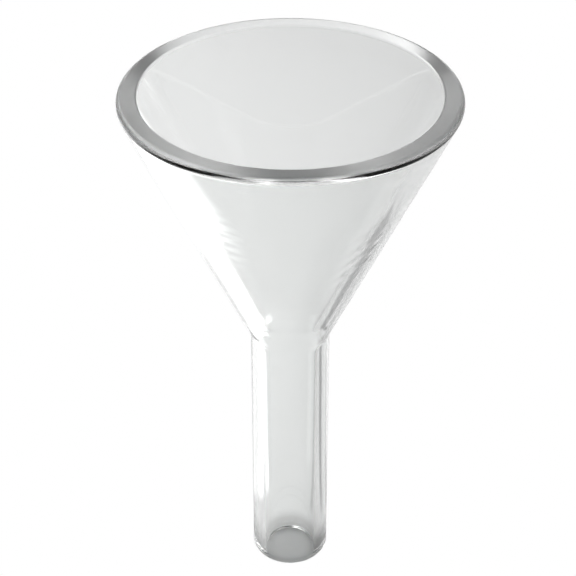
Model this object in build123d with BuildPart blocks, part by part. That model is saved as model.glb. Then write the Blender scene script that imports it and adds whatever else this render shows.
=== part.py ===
"""Small heavy-wall laboratory funnel in clear borosilicate glass.

A conical bowl is sealed in the flame onto a thick-walled stem tube. The
mouth is ground flat and its edges are softened. The outlet is cut square and
fire polished, so that little of its end is still flat.
The funnel stands upright on the centre of its outlet: the origin is the
middle of the stem's lower end, and +Z runs up the axis to the mouth.
Each sub-part is a ring of glass about that axis, and each meets the next
one face to face on a level plane.
"""

import os
from math import cos, radians, sin, tan

from build123d import *

# Driving dimensions, in millimetres and degrees.
HEIGHT = 69.5  # from the outlet to the mouth
MOUTH_DIAMETER = 40.0  # over the outside of the rim
MOUTH_OPENING = 35.4  # clear width at the ground face
CONE_HALF_ANGLE = 24.7  # between the bowl's wall and the axis
STEM_DIAMETER = 9.9
BORE_DIAMETER = 6.6

# Where the glassblower's work on one zone ends and the next begins.
RIM_BAND = 2.6  # height of the worked ring at the mouth
SEAL_ABOVE = 4.4  # reach of the neck seal up the bowl, from the corner
SEAL_BELOW = 3.2  # reach of the neck seal down the stem
TIP_BAND = 2.4  # height of the worked ring at the outlet

# Softened edges.
RIM_OUTER_ROUND = 0.7
RIM_INNER_ROUND = 0.3
NECK_ROUND = 2.5
THROAT_ROUND = 8.0
TIP_OUTER_ROUND = 1.15
TIP_INNER_ROUND = 0.35

mouth_r = MOUTH_DIAMETER / 2
opening_r = MOUTH_OPENING / 2
stem_r = STEM_DIAMETER / 2
bore_r = BORE_DIAMETER / 2
slope = tan(radians(CONE_HALF_ANGLE))

# The bowl's outer wall is tangent to the round of the rim, whose own
# outermost point gives the mouth's diameter.
tangent_r = mouth_r - RIM_OUTER_ROUND * (1 - cos(radians(CONE_HALF_ANGLE)))
tangent_z = HEIGHT - RIM_OUTER_ROUND * (1 + sin(radians(CONE_HALF_ANGLE)))


def outer_r(z):
    """Radius of the bowl's outer cone at height z."""
    return tangent_r + (z - tangent_z) * slope


def inner_r(z):
    """Radius of the bowl's inner cone at height z."""
    return opening_r + (z - HEIGHT) * slope


neck_z = tangent_z - (tangent_r - stem_r) / slope
throat_z = HEIGHT - (opening_r - bore_r) / slope
rim_z = HEIGHT - RIM_BAND
seal_top_z = neck_z + SEAL_ABOVE
seal_low_z = neck_z - SEAL_BELOW


def corner(sketch, r, z):
    """The corner of a half profile that lies nearest to radius r, height z."""
    return sketch.vertices().sort_by_distance((r, z))[0]


def rim():
    """Mouth ring, ground flat on top, with softened edges."""
    with BuildPart() as ring:
        with BuildSketch(Plane.XZ) as profile:
            with BuildLine():
                Polyline(
                    (inner_r(rim_z), rim_z),
                    (outer_r(rim_z), rim_z),
                    (outer_r(HEIGHT), HEIGHT),
                    (opening_r, HEIGHT),
                    close=True,
                )
            make_face()
            fillet(corner(profile, outer_r(HEIGHT), HEIGHT), RIM_OUTER_ROUND)
            fillet(corner(profile, opening_r, HEIGHT), RIM_INNER_ROUND)
        revolve(axis=Axis.Z)
    return ring


def bowl():
    """Conical wall between the rim and the neck seal."""
    with BuildPart() as cone:
        with BuildSketch(Plane.XZ):
            with BuildLine():
                Polyline(
                    (inner_r(seal_top_z), seal_top_z),
                    (outer_r(seal_top_z), seal_top_z),
                    (outer_r(rim_z), rim_z),
                    (inner_r(rim_z), rim_z),
                    close=True,
                )
            make_face()
        revolve(axis=Axis.Z)
    return cone


def neck_seal():
    """Flame seal where the bowl's throat runs into the stem's bore."""
    with BuildPart() as seal:
        with BuildSketch(Plane.XZ) as profile:
            with BuildLine():
                Polyline(
                    (bore_r, seal_low_z),
                    (stem_r, seal_low_z),
                    (stem_r, neck_z),
                    (outer_r(seal_top_z), seal_top_z),
                    (inner_r(seal_top_z), seal_top_z),
                    (bore_r, throat_z),
                    close=True,
                )
            make_face()
            fillet(corner(profile, stem_r, neck_z), NECK_ROUND)
            fillet(corner(profile, bore_r, throat_z), THROAT_ROUND)
        revolve(axis=Axis.Z)
    return seal


def stem():
    """Thick-walled tube below the neck seal."""
    with BuildPart() as tube:
        with BuildSketch(Plane.XY.offset(TIP_BAND)):
            Circle(stem_r)
            Circle(bore_r, mode=Mode.SUBTRACT)
        extrude(amount=seal_low_z - TIP_BAND)
    return tube


def outlet_tip():
    """Square-cut lower end of the stem, with both edges rounded in the flame."""
    with BuildPart() as tip:
        with BuildSketch(Plane.XZ) as profile:
            with BuildLine():
                Polyline(
                    (bore_r, 0),
                    (stem_r, 0),
                    (stem_r, TIP_BAND),
                    (bore_r, TIP_BAND),
                    close=True,
                )
            make_face()
            fillet(corner(profile, stem_r, 0), TIP_OUTER_ROUND)
            fillet(corner(profile, bore_r, 0), TIP_INNER_ROUND)
        revolve(axis=Axis.Z)
    return tip


os.makedirs("parts", exist_ok=True)
for make in (rim, bowl, neck_seal, stem, outlet_tip):
    made = make()
    made.part.label = make.__name__
    export_step(made.part, f"parts/{make.__name__}.step")
print(f"neck at {neck_z:.3f}, throat at {throat_z:.3f}")
print(f"seal from {seal_low_z:.3f} to {seal_top_z:.3f}, rim from {rim_z:.3f}")
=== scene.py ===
import random
from math import atan2, cos, pi, radians, sin, tan

import bpy
import numpy as np
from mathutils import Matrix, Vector


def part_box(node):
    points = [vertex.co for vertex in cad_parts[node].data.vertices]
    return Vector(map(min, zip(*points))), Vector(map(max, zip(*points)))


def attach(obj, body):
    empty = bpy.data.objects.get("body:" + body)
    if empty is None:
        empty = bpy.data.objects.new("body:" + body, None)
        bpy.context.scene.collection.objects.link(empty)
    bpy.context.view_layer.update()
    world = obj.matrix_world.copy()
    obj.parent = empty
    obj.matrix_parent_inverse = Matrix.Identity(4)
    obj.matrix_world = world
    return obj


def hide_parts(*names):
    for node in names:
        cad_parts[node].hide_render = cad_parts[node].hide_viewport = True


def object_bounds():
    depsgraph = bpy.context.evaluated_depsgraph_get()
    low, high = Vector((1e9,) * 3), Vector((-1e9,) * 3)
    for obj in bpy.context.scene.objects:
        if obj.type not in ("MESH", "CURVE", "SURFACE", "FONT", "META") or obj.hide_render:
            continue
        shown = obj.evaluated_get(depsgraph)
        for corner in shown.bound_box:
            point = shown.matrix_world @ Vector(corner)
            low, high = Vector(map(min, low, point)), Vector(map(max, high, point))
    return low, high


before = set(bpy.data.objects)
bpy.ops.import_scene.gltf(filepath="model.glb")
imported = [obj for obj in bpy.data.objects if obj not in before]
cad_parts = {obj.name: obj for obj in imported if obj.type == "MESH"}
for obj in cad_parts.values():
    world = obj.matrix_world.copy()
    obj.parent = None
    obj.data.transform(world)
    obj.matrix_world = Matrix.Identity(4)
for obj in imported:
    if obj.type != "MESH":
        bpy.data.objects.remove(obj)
cad_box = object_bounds()

# Looks of the glass funnel. The five nodes of the model are worked zones of one
# continuous piece of glass, so one closed half profile is worked out for the
# whole funnel, and each zone is turned from its own stretch of it. All lengths
# are metres, in the model's frame.

BODY = "root"

# Softened edges, the same as the model's.
RIM_OUTER_ROUND = 0.0007
RIM_INNER_ROUND = 0.0003
NECK_ROUND = 0.0025
THROAT_ROUND = 0.008
TIP_OUTER_ROUND = 0.00115
TIP_INNER_ROUND = 0.00035

# Fineness of the turned meshes.
SEGMENTS = 288
ARC_STEP = radians(7.5)
LEAST_ARC_STEPS = 3
WALL_STEP = 0.0004
SAME = 1e-7


# ------------------------------------------------------------ levels and radii

def ring(node, level):
    """Inner radius, outer radius and height of a node's lowest (0) or highest (1) ring."""
    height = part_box(node)[level].z
    near = [v.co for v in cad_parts[node].data.vertices if abs(v.co.z - height) < SAME]
    radii = [Vector((p.x, p.y)).length for p in near]
    return min(radii), max(radii), height


BORE_R, STEM_R, TIP_Z = ring("stem", 0)
SEAL_LOW_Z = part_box("stem")[1].z
THROAT_R, NECK_R, SEAL_TOP_Z = ring("bowl", 0)
RIM_INNER_R, RIM_OUTER_R, RIM_Z = ring("bowl", 1)
HEIGHT = cad_box[1].z
MOUTH_R = cad_box[1].x
SLOPE = (RIM_OUTER_R - NECK_R) / (RIM_Z - SEAL_TOP_Z)


def outer_r(z):
    """Radius of the bowl's outer cone at height z."""
    return NECK_R + (z - SEAL_TOP_Z) * SLOPE


def inner_r(z):
    """Radius of the bowl's inner cone at height z."""
    return THROAT_R + (z - SEAL_TOP_Z) * SLOPE


NECK_Z = SEAL_TOP_Z - (NECK_R - STEM_R) / SLOPE
THROAT_Z = SEAL_TOP_Z - (THROAT_R - BORE_R) / SLOPE
SEAMS = (TIP_Z, SEAL_LOW_Z, SEAL_TOP_Z, RIM_Z)


# ------------------------------------------------------------ the half profile

def arc(before, at, after, radius):
    """Points and outward normals of the arc that rounds a corner of the profile."""
    to_before = (before - at).normalized()
    to_after = (after - at).normalized()
    half = to_before.angle(to_after) / 2
    centre = at + (to_before + to_after).normalized() * (radius / sin(half))
    reach = radius / tan(half)
    first = at + to_before * reach - centre
    last = at + to_after * reach - centre
    begin = atan2(first.y, first.x)
    turn = (atan2(last.y, last.x) - begin + pi) % (2 * pi) - pi
    steps = max(LEAST_ARC_STEPS, round(abs(turn) / ARC_STEP))
    points = []
    for i in range(steps + 1):
        angle = begin + turn * i / steps
        out = Vector((cos(angle), sin(angle)))
        points.append((centre + out * radius, out if turn > 0 else -out))
    return points


def stretch(start, end):
    """Points and outward normals from start up to end, with one on each seam between."""
    run = end - start
    out = Vector((run.y, -run.x)).normalized()
    stops = [0.0, 1.0]
    if abs(run.y) > SAME:
        crossings = [(z - start.y) / run.y for z in SEAMS]
        stops += [t for t in crossings if 0 < t < 1]
    stops.sort()
    points = []
    for low, high in zip(stops, stops[1:]):
        steps = max(1, round((high - low) * run.length / WALL_STEP))
        points += [(start + run * (low + (high - low) * i / steps), out) for i in range(steps)]
    return points


def closed_profile():
    """The funnel's wall in section, as (radius, height, normal) going round it once."""
    corners = [
        (BORE_R, 0.0, TIP_INNER_ROUND),
        (STEM_R, 0.0, TIP_OUTER_ROUND),
        (STEM_R, NECK_Z, NECK_ROUND),
        (outer_r(HEIGHT), HEIGHT, RIM_OUTER_ROUND),
        (inner_r(HEIGHT), HEIGHT, RIM_INNER_ROUND),
        (BORE_R, THROAT_Z, THROAT_ROUND),
    ]
    places = [Vector(c[:2]) for c in corners]
    arcs = []
    for i, (_, _, radius) in enumerate(corners):
        after = places[(i + 1) % len(places)]
        arcs.append(arc(places[i - 1], places[i], after, radius))
    points = []
    for i, bend in enumerate(arcs):
        following = arcs[(i + 1) % len(arcs)]
        points += bend[:-1]
        points += stretch(bend[-1][0], following[0][0])
    return np.array([(p.x, p.y, n.x, n.y) for p, n in points])


profile = closed_profile()
angles = np.arange(SEGMENTS) * 2 * pi / SEGMENTS


# ------------------------------------------------------- unevenness of the glass

# Rings left by turning the glass in the flame: length and height of a wave, how
# many waves are laid over each other, and the seed that their places come from.
BOWL_OUTER_WAVES = (0.0085, 16e-6, 5, 1)
BOWL_INNER_WAVES = (0.011, 8e-6, 4, 4)
STEM_WAVES = (0.006, 1.6e-6, 4, 2)
SEAL_WAVES = (0.0026, 9e-6, 4, 3)
WAVE_SPREAD = (0.75, 1.35)  # shortest and longest, as shares of the length

# How far each zone is out of round: height, number of lobes, and their turn.
BOWL_LOBES = (10e-6, 2, 0.7)
STEM_LOBES = (1.2e-6, 3, 1.9)
SEAL_LOBES = (12e-6, 2, -0.4)

# Two patches of finer ripples on the outside, where the wall was paddled: bearing,
# height and half height of the patch, length and height of a ripple, and how far
# a ripple climbs for each radian round the wall.
LEVEL_PATCH = (radians(243), 0.0575, 0.0035, 0.0016, 8e-6, 0.0)
LEANING_PATCH = (radians(308), 0.0535, 0.003, 0.0021, 7e-6, 0.0087)
PATCH_HALF_WIDTH = radians(14)

# Where the unevenness of one zone gives way to the next one's.
OUTLET_FADE = (0.0015, 0.004)
MOUTH_FADE = (RIM_Z - 0.003, RIM_Z)
BOWL_FADE = (SEAL_TOP_Z - 0.002, SEAL_TOP_Z + 0.003)
STEM_FADE = (SEAL_LOW_Z - 0.002, SEAL_LOW_Z + 0.001)
SEAL_REACH = 0.0028

NUDGE = 1e-5  # step, in metres or radians, over which a slope is measured


def bell(value, middle, width):
    """1 at the middle, falling smoothly to nothing a few widths away."""
    return np.exp(-(((value - middle) / width) ** 2))


def rise(value, low, high):
    """0 up to low and 1 from high on, with a smooth rise between."""
    t = np.clip((value - low) / (high - low), 0, 1)
    return t * t * (3 - 2 * t)


def waves(z, angle, length, height, count, seed):
    """Uneven rings round the glass: a few close wavelengths together."""
    draw = random.Random(seed)
    total = 0.0
    for _ in range(count):
        here = length * draw.uniform(*WAVE_SPREAD)
        lean = draw.choice((-1, 1)) * draw.randint(0, 2)
        turned_by = draw.uniform(0, 2 * pi)
        total = total + np.sin(2 * pi * z / here + lean * angle + turned_by)
    return total * height / count


def lobes(angle, height, count, turned_by):
    """An even swell and hollow round the glass."""
    return height * np.sin(count * angle + turned_by)


def ripples(z, angle, bearing, middle, half_height, length, height, climb):
    """A patch of fine ripples, each of which climbs as it runs round the wall."""
    patch = bell(z - climb * (angle - bearing), middle, half_height)
    patch = patch * bell(angle, bearing, PATCH_HALF_WIDTH)
    return height * np.sin(2 * pi * (z - climb * angle) / length) * patch


def unevenness(z, angle, outside):
    """How far the glass stands out (+) or in (-) of its true surface, in metres.

    It dies out before the mouth and the outlet, whose rounds stay true.
    """
    away_from_ends = rise(z, *OUTLET_FADE) * (1 - rise(z, *MOUTH_FADE))
    in_bowl = rise(z, *BOWL_FADE)
    in_stem = 1 - rise(z, *STEM_FADE)
    near_seal = bell(z, (SEAL_LOW_Z + SEAL_TOP_Z) / 2, SEAL_REACH)

    bowl = waves(z, angle, *BOWL_OUTER_WAVES) + lobes(angle, *BOWL_LOBES)
    stem = waves(z, angle, *STEM_WAVES) + lobes(angle, *STEM_LOBES)
    seal = waves(z, angle, *SEAL_WAVES) + lobes(angle, *SEAL_LOBES)
    paddled = ripples(z, angle, *LEVEL_PATCH) + ripples(z, angle, *LEANING_PATCH)

    outer = in_bowl * (bowl + paddled)
    inner = in_bowl * waves(z, angle, *BOWL_INNER_WAVES)
    both = in_stem * stem + near_seal * seal
    return away_from_ends * (np.where(outside, outer, inner) + both)


def turned():
    """Points and normals of the whole surface, one row for each profile point."""
    r, z, out_r, out_z = (column[:, None] for column in profile.T)
    outside = out_r > 0
    here = unevenness(z, angles, outside)
    up = unevenness(z + NUDGE, angles, outside) - unevenness(z - NUDGE, angles, outside)
    on = unevenness(z, angles + NUDGE, outside) - unevenness(z, angles - NUDGE, outside)
    along_z = up / (2 * NUDGE)
    across = on / (2 * NUDGE) / r
    c, s = np.cos(angles), np.sin(angles)
    radius, height = r + out_r * here, z + out_z * here
    points = np.stack([radius * c, radius * s, height + 0 * c], axis=-1)
    # The slope of the unevenness tips the normal along the wall and round it.
    tip = along_z * out_r
    normal_r, normal_z = out_r + tip * out_z, out_z - tip * out_r
    normals = np.stack(
        [normal_r * c + across * s, normal_r * s - across * c, normal_z + 0 * c], axis=-1
    )
    return points, normals / np.linalg.norm(normals, axis=-1, keepdims=True)


surface_points, surface_normals = turned()


# -------------------------------------------------------------------- the zones

def zone_rows(low, high):
    """Profile rows of the zone between two seams, in order round its own section."""
    count = len(profile)

    def crossing(level):
        return [i for i in range(count) if abs(profile[i, 1] - level) < SAME]

    if low is None:
        outer, inner = crossing(high)
        return list(range(inner, count)) + list(range(outer + 1))
    if high is None:
        outer, inner = crossing(low)
        return list(range(outer, inner + 1))
    outer_low, inner_low = crossing(low)
    outer_high, inner_high = crossing(high)
    return list(range(outer_low, outer_high + 1)) + list(range(inner_high, inner_low + 1))


def make_zone(name, node, low, high, glass, seam):
    """One zone of the funnel as a closed mesh, with its level seams in a clear slot."""
    rows = zone_rows(low, high)
    points = surface_points[rows].reshape(-1, 3)
    normals = surface_normals[rows].reshape(-1, 3)
    faces, slots = [], []
    for i, row in enumerate(rows):
        j = (i + 1) % len(rows)
        is_seam = rows[j] != (row + 1) % len(profile)
        here, there = i * SEGMENTS, j * SEGMENTS
        for a in range(SEGMENTS):
            b = (a + 1) % SEGMENTS
            faces.append((here + a, here + b, there + b, there + a))
            slots.append(int(is_seam))
    mesh = bpy.data.meshes.new(name)
    mesh.from_pydata(points.tolist(), [], faces)
    mesh.materials.append(glass)
    mesh.materials.append(seam)
    mesh.polygons.foreach_set("material_index", slots)
    mesh.shade_smooth()
    mesh.normals_split_custom_set_from_vertices(normals.tolist())
    mesh.update()
    piece = bpy.data.objects.new(name, mesh)
    bpy.context.scene.collection.objects.link(piece)
    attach(piece, BODY)
    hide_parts(node)
    return piece


# -------------------------------------------------------------------- materials

IOR = 1.474
CLEAR = (0.97, 0.975, 0.972, 1.0)
TINTED = (0.94, 0.955, 0.948, 1.0)
CLOUD_SCALE = 90.0  # of the wandering tint, in cells for each metre
CLOUD_DETAIL = 3.0
GRAIN_DETAIL = 4.0
HAZE_FROM = 0.45
HAZE_TO = 0.75
POLISHED = 0.02  # the most that the haze adds to the roughness
GROUND = 0.45
GROUND_EDGE = 0.0006  # how far below the ground face its roughness ends
SKIN = 0.00005

# Each zone's fine grain, in cells for each metre, and the depth of its surface.
FINISH = {
    "rim": (420.0, 1.2e-6),
    "bowl": (260.0, 2.2e-6),
    "neck_seal": (520.0, 3e-6),
    "stem": (340.0, 1.6e-6),
    "outlet_tip": (600.0, 2.6e-6),
}


def add(tree, kind, inputs=None, **settings):
    """A shader node with its settings, and with each input set or linked."""
    made = tree.nodes.new(kind)
    for key, value in settings.items():
        setattr(made, key, value)
    for key, value in (inputs or {}).items():
        if isinstance(value, bpy.types.NodeSocket):
            tree.links.new(value, made.inputs[key])
        else:
            made.inputs[key].default_value = value
    return made


def math_node(tree, operation, *values):
    """The result of a sum on one or two values."""
    inputs = dict(enumerate(values))
    return add(tree, "ShaderNodeMath", inputs, operation=operation).outputs["Value"]


def fresh_material(name):
    """A material with an empty node tree and its output node."""
    material = bpy.data.materials.new(name)
    material.use_nodes = True
    material.node_tree.nodes.clear()
    return material, add(material.node_tree, "ShaderNodeOutputMaterial")


def make_glass(name, grain, depth, ground_at=None):
    """Clear glass: its tint, polish and surface wander a little from place to place.

    Where ground_at is set, the level face at that height is rough, as ground glass is.
    """
    material, output = fresh_material(name)
    tree = material.node_tree
    place = add(tree, "ShaderNodeTexCoord").outputs["Object"]
    cloud = add(
        tree, "ShaderNodeTexNoise",
        {"Vector": place, "Scale": CLOUD_SCALE, "Detail": CLOUD_DETAIL},
    )
    tint = add(
        tree, "ShaderNodeMixRGB",
        {"Fac": cloud.outputs["Fac"], "Color1": CLEAR, "Color2": TINTED},
    )
    haze = add(
        tree, "ShaderNodeTexNoise",
        {"Vector": place, "Scale": grain, "Detail": GRAIN_DETAIL},
    ).outputs["Fac"]
    rough = add(
        tree, "ShaderNodeMapRange",
        {"Value": haze, "From Min": HAZE_FROM, "From Max": HAZE_TO, "To Max": POLISHED},
    ).outputs["Result"]
    if ground_at is not None:
        height = add(tree, "ShaderNodeSeparateXYZ", {"Vector": place}).outputs["Z"]
        away = math_node(tree, "ABSOLUTE", math_node(tree, "SUBTRACT", height, ground_at))
        face = add(
            tree, "ShaderNodeMapRange",
            {"Value": away, "From Min": GROUND_EDGE, "From Max": SKIN, "To Max": GROUND},
        )
        rough = math_node(tree, "ADD", rough, face.outputs["Result"])
    wave = add(tree, "ShaderNodeBump", {"Height": haze, "Strength": 1.0, "Distance": depth})
    shader = add(
        tree, "ShaderNodeBsdfPrincipled",
        {
            "Base Color": tint.outputs["Color"],
            "Roughness": rough,
            "IOR": IOR,
            "Transmission Weight": 1.0,
            "Normal": wave.outputs["Normal"],
        },
    )
    tree.links.new(shader.outputs["BSDF"], output.inputs["Surface"])
    return material


def make_seam():
    """What the level faces between two zones show: nothing, for the glass runs on."""
    material, output = fresh_material("fused_seam")
    tree = material.node_tree
    through = add(tree, "ShaderNodeBsdfTransparent")
    tree.links.new(through.outputs["BSDF"], output.inputs["Surface"])
    return material


fused_seam = make_seam()
zones = [
    ("rim_glass", "rim", RIM_Z, None),
    ("bowl_glass", "bowl", SEAL_TOP_Z, RIM_Z),
    ("neck_seal_glass", "neck_seal", SEAL_LOW_Z, SEAL_TOP_Z),
    ("stem_glass", "stem", TIP_Z, SEAL_LOW_Z),
    ("outlet_tip_glass", "outlet_tip", None, TIP_Z),
]
for zone_name, node_name, zone_low, zone_high in zones:
    ground_face = HEIGHT if node_name == "rim" else None
    zone_glass = make_glass(f"{node_name}_clear", *FINISH[node_name], ground_face)
    make_zone(zone_name, node_name, zone_low, zone_high, zone_glass, fused_seam)


# ------------------------------------------------------------------------ stage

FLOOR_REACH = 6.0
FLOOR_GAP = 0.00002
FLOOR_COLOUR = (0.8, 0.8, 0.8, 1.0)
# Painted shade: the table's colour under its painted shadow ring and painted shadow fan.
PAINTED_SHADOW_COLOUR = (0.38, 0.38, 0.38, 1.0)

# The painted shadow ring round the outlet, darkening the table's colour: the radii over which
# it rises, and falls again.
PAINTED_SHADOW_INSIDE = (0.002, 0.0044)
PAINTED_SHADOW_OUTSIDE = (0.0085, 0.0045)

# Strips and fans of the table: azimuth in degrees, near and far end, half width,
# softness of the edge, and level. A fan's half width and softness are shares of
# the way out, and its two ends have a softness of their own.
# Painted shadow: the dark fan below darkens the table's colour.
PAINTED_FAN_SHADOW = (40, 0.008, 0.06, 0.2, 0.14, 1.0)
# Painted light: the two panels below are patches of the table itself that glow.
PAINTED_CLOSE_PANEL = (147, 0.012, 0.055, 0.4, 0.2, 1.0)
PAINTED_LIGHT_PANEL = (145, 0.05, 0.2, 0.05, 0.02, 1.2)
END_SOFTNESS = 0.004

STUDIO_COLOUR = (0.2, 0.2, 0.2, 1)

# Azimuth and elevation in degrees, distance, width, height and radiance.
SOFTBOXES = {
    "key_softbox": (150, 46, 0.26, 0.2, 0.12, 7.5),
    "high_left_softbox": (225, 65, 1.0, 0.34, 0.34, 3.6),
    "back_softbox": (75, 34, 1.0, 0.4, 0.3, 3.4),
    "high_right_softbox": (0, 65, 1.0, 0.34, 0.34, 1.2),
    "right_softbox": (0, 27, 1.0, 0.5, 0.25, 5.5),
}

VIEW_DOWN = radians(34.27)
VIEW_DISTANCE = 9.61 * MOUTH_R
AIM_BELOW_MOUTH = 1.127 * MOUTH_R
SIDE_STEP = 0.000275
LENS = 104.9
SENSOR = 36.0
NEAREST_SEEN = 0.01

BOUNCES = 32
GLOSSY_BOUNCES = 16
SEAM_BOUNCES = 64


def smooth_step(tree, value, low, high):
    """0 below low, 1 above high, with a smooth rise between. A low above high runs down."""
    inputs = {"Value": value, "From Min": low, "From Max": high}
    step = add(tree, "ShaderNodeMapRange", inputs, interpolation_type="SMOOTHSTEP")
    return step.outputs["Result"]


def product(tree, *values):
    """The product of several values."""
    total = values[0]
    for value in values[1:]:
        total = math_node(tree, "MULTIPLY", total, value)
    return total


def soft_strip(tree, place, azimuth, near, far, half_width, soft, level, fan=False):
    """A soft-edged strip or fan of the table, that runs outwards from near to far."""
    turn = (0, 0, -radians(azimuth))
    turned_to = add(
        tree, "ShaderNodeMapping", {"Vector": place, "Rotation": turn}, vector_type="POINT"
    )
    axes = add(tree, "ShaderNodeSeparateXYZ", {"Vector": turned_to.outputs["Vector"]})
    along = axes.outputs["X"]
    across = math_node(tree, "ABSOLUTE", axes.outputs["Y"])
    if fan:
        across = math_node(tree, "DIVIDE", across, along)
    ends = END_SOFTNESS if fan else soft
    return product(
        tree,
        smooth_step(tree, along, near, near + ends),
        smooth_step(tree, along, far, far - ends),
        smooth_step(tree, across, half_width, half_width - soft),
        level,
    )


def floor_material():
    """Plain pale table. The camera sees clean white paper, and the glass a lit table.

    What the glass looks at is pale paper with the funnel's own shadow painted into its colour,
    as a dark fan and a dark ring at the outlet, and with two soft light panels painted on as
    patches of it that glow.
    """
    material, output = fresh_material("floor_paper")
    tree = material.node_tree
    place = add(tree, "ShaderNodeTexCoord").outputs["Object"]
    from_axis = add(tree, "ShaderNodeVectorMath", {0: place}, operation="LENGTH")
    from_axis = from_axis.outputs["Value"]
    # Painted shadow: a dark ring round the outlet, darkening the paper's colour.
    painted_contact_shadow = product(
        tree,
        smooth_step(tree, from_axis, *PAINTED_SHADOW_INSIDE),
        smooth_step(tree, from_axis, *PAINTED_SHADOW_OUTSIDE),
    )
    # Painted shadow: a dark fan on the table, the funnel's shadow drawn into the paper's
    # colour.
    painted_fan_mask = soft_strip(tree, place, *PAINTED_FAN_SHADOW, fan=True)
    open_floor = product(
        tree,
        math_node(tree, "SUBTRACT", 1.0, painted_contact_shadow),
        math_node(tree, "SUBTRACT", 1.0, painted_fan_mask),
    )
    colour = add(
        tree, "ShaderNodeMixRGB",
        {"Fac": open_floor, "Color1": PAINTED_SHADOW_COLOUR, "Color2": FLOOR_COLOUR},
    )
    paper = add(tree, "ShaderNodeBsdfDiffuse", {"Color": colour.outputs["Color"]})
    # Painted light: two soft patches of the table's own surface glow, standing in for light
    # panels.
    wide = soft_strip(tree, place, *PAINTED_LIGHT_PANEL)
    close = soft_strip(tree, place, *PAINTED_CLOSE_PANEL, fan=True)
    glow = math_node(tree, "MAXIMUM", wide, close)
    lit = add(tree, "ShaderNodeEmission", {"Strength": glow})
    table = add(
        tree, "ShaderNodeAddShader", {0: paper.outputs["BSDF"], 1: lit.outputs["Emission"]}
    )
    seen = add(tree, "ShaderNodeLightPath").outputs["Is Camera Ray"]
    white = add(tree, "ShaderNodeEmission")
    pick = add(
        tree, "ShaderNodeMixShader",
        {0: seen, 1: table.outputs["Shader"], 2: white.outputs["Emission"]},
    )
    tree.links.new(pick.outputs["Shader"], output.inputs["Surface"])
    return material


def make_floor():
    """The table, a hair below the outlet."""
    mesh = bpy.data.meshes.new("floor")
    x, z = FLOOR_REACH, -FLOOR_GAP
    mesh.from_pydata([(-x, -x, z), (x, -x, z), (x, x, z), (-x, x, z)], [], [(0, 1, 2, 3)])
    mesh.materials.append(floor_material())
    floor = bpy.data.objects.new("floor", mesh)
    bpy.context.scene.collection.objects.link(floor)


def make_world():
    """Dim studio round the funnel."""
    world = bpy.data.worlds.new("studio")
    world.use_nodes = True
    background = world.node_tree.nodes["Background"]
    background.inputs["Color"].default_value = STUDIO_COLOUR
    bpy.context.scene.world = world


def softbox(name, azimuth, elevation, distance, width, height, radiance):
    """A plain rectangular softbox, placed by its bearing from the middle of the funnel."""
    lamp = bpy.data.lights.new(name, "AREA")
    lamp.shape = "RECTANGLE"
    lamp.size = width
    lamp.size_y = height
    lamp.energy = pi * width * height * radiance
    light = bpy.data.objects.new(name, lamp)
    bpy.context.scene.collection.objects.link(light)
    around, up = radians(azimuth), radians(elevation)
    bearing = Vector((cos(around) * cos(up), sin(around) * cos(up), sin(up)))
    light.location = Vector((0, 0, HEIGHT / 2)) + bearing * distance
    light.rotation_euler = (-bearing).to_track_quat("-Z", "Y").to_euler()


def make_camera():
    """Camera above the funnel in front, looking down past its mouth."""
    ahead = Vector((0, cos(VIEW_DOWN), -sin(VIEW_DOWN)))
    above = Vector((0, sin(VIEW_DOWN), cos(VIEW_DOWN)))
    mouth = Vector((0, 0, HEIGHT))
    lens = bpy.data.cameras.new("camera")
    lens.lens = LENS
    lens.sensor_width = SENSOR
    lens.clip_start = NEAREST_SEEN
    camera = bpy.data.objects.new("camera", lens)
    bpy.context.scene.collection.objects.link(camera)
    camera.location = mouth - ahead * VIEW_DISTANCE - above * AIM_BELOW_MOUTH
    camera.location.x -= SIDE_STEP
    camera.rotation_euler = (pi / 2 - VIEW_DOWN, 0, 0)
    bpy.context.scene.camera = camera


make_floor()
make_world()
make_camera()
for light_name, light_values in SOFTBOXES.items():
    softbox(light_name, *light_values)

scene = bpy.context.scene
scene.view_settings.view_transform = "Standard"
scene.cycles.max_bounces = BOUNCES
scene.cycles.transmission_bounces = BOUNCES
scene.cycles.glossy_bounces = GLOSSY_BOUNCES
scene.cycles.transparent_max_bounces = SEAM_BOUNCES
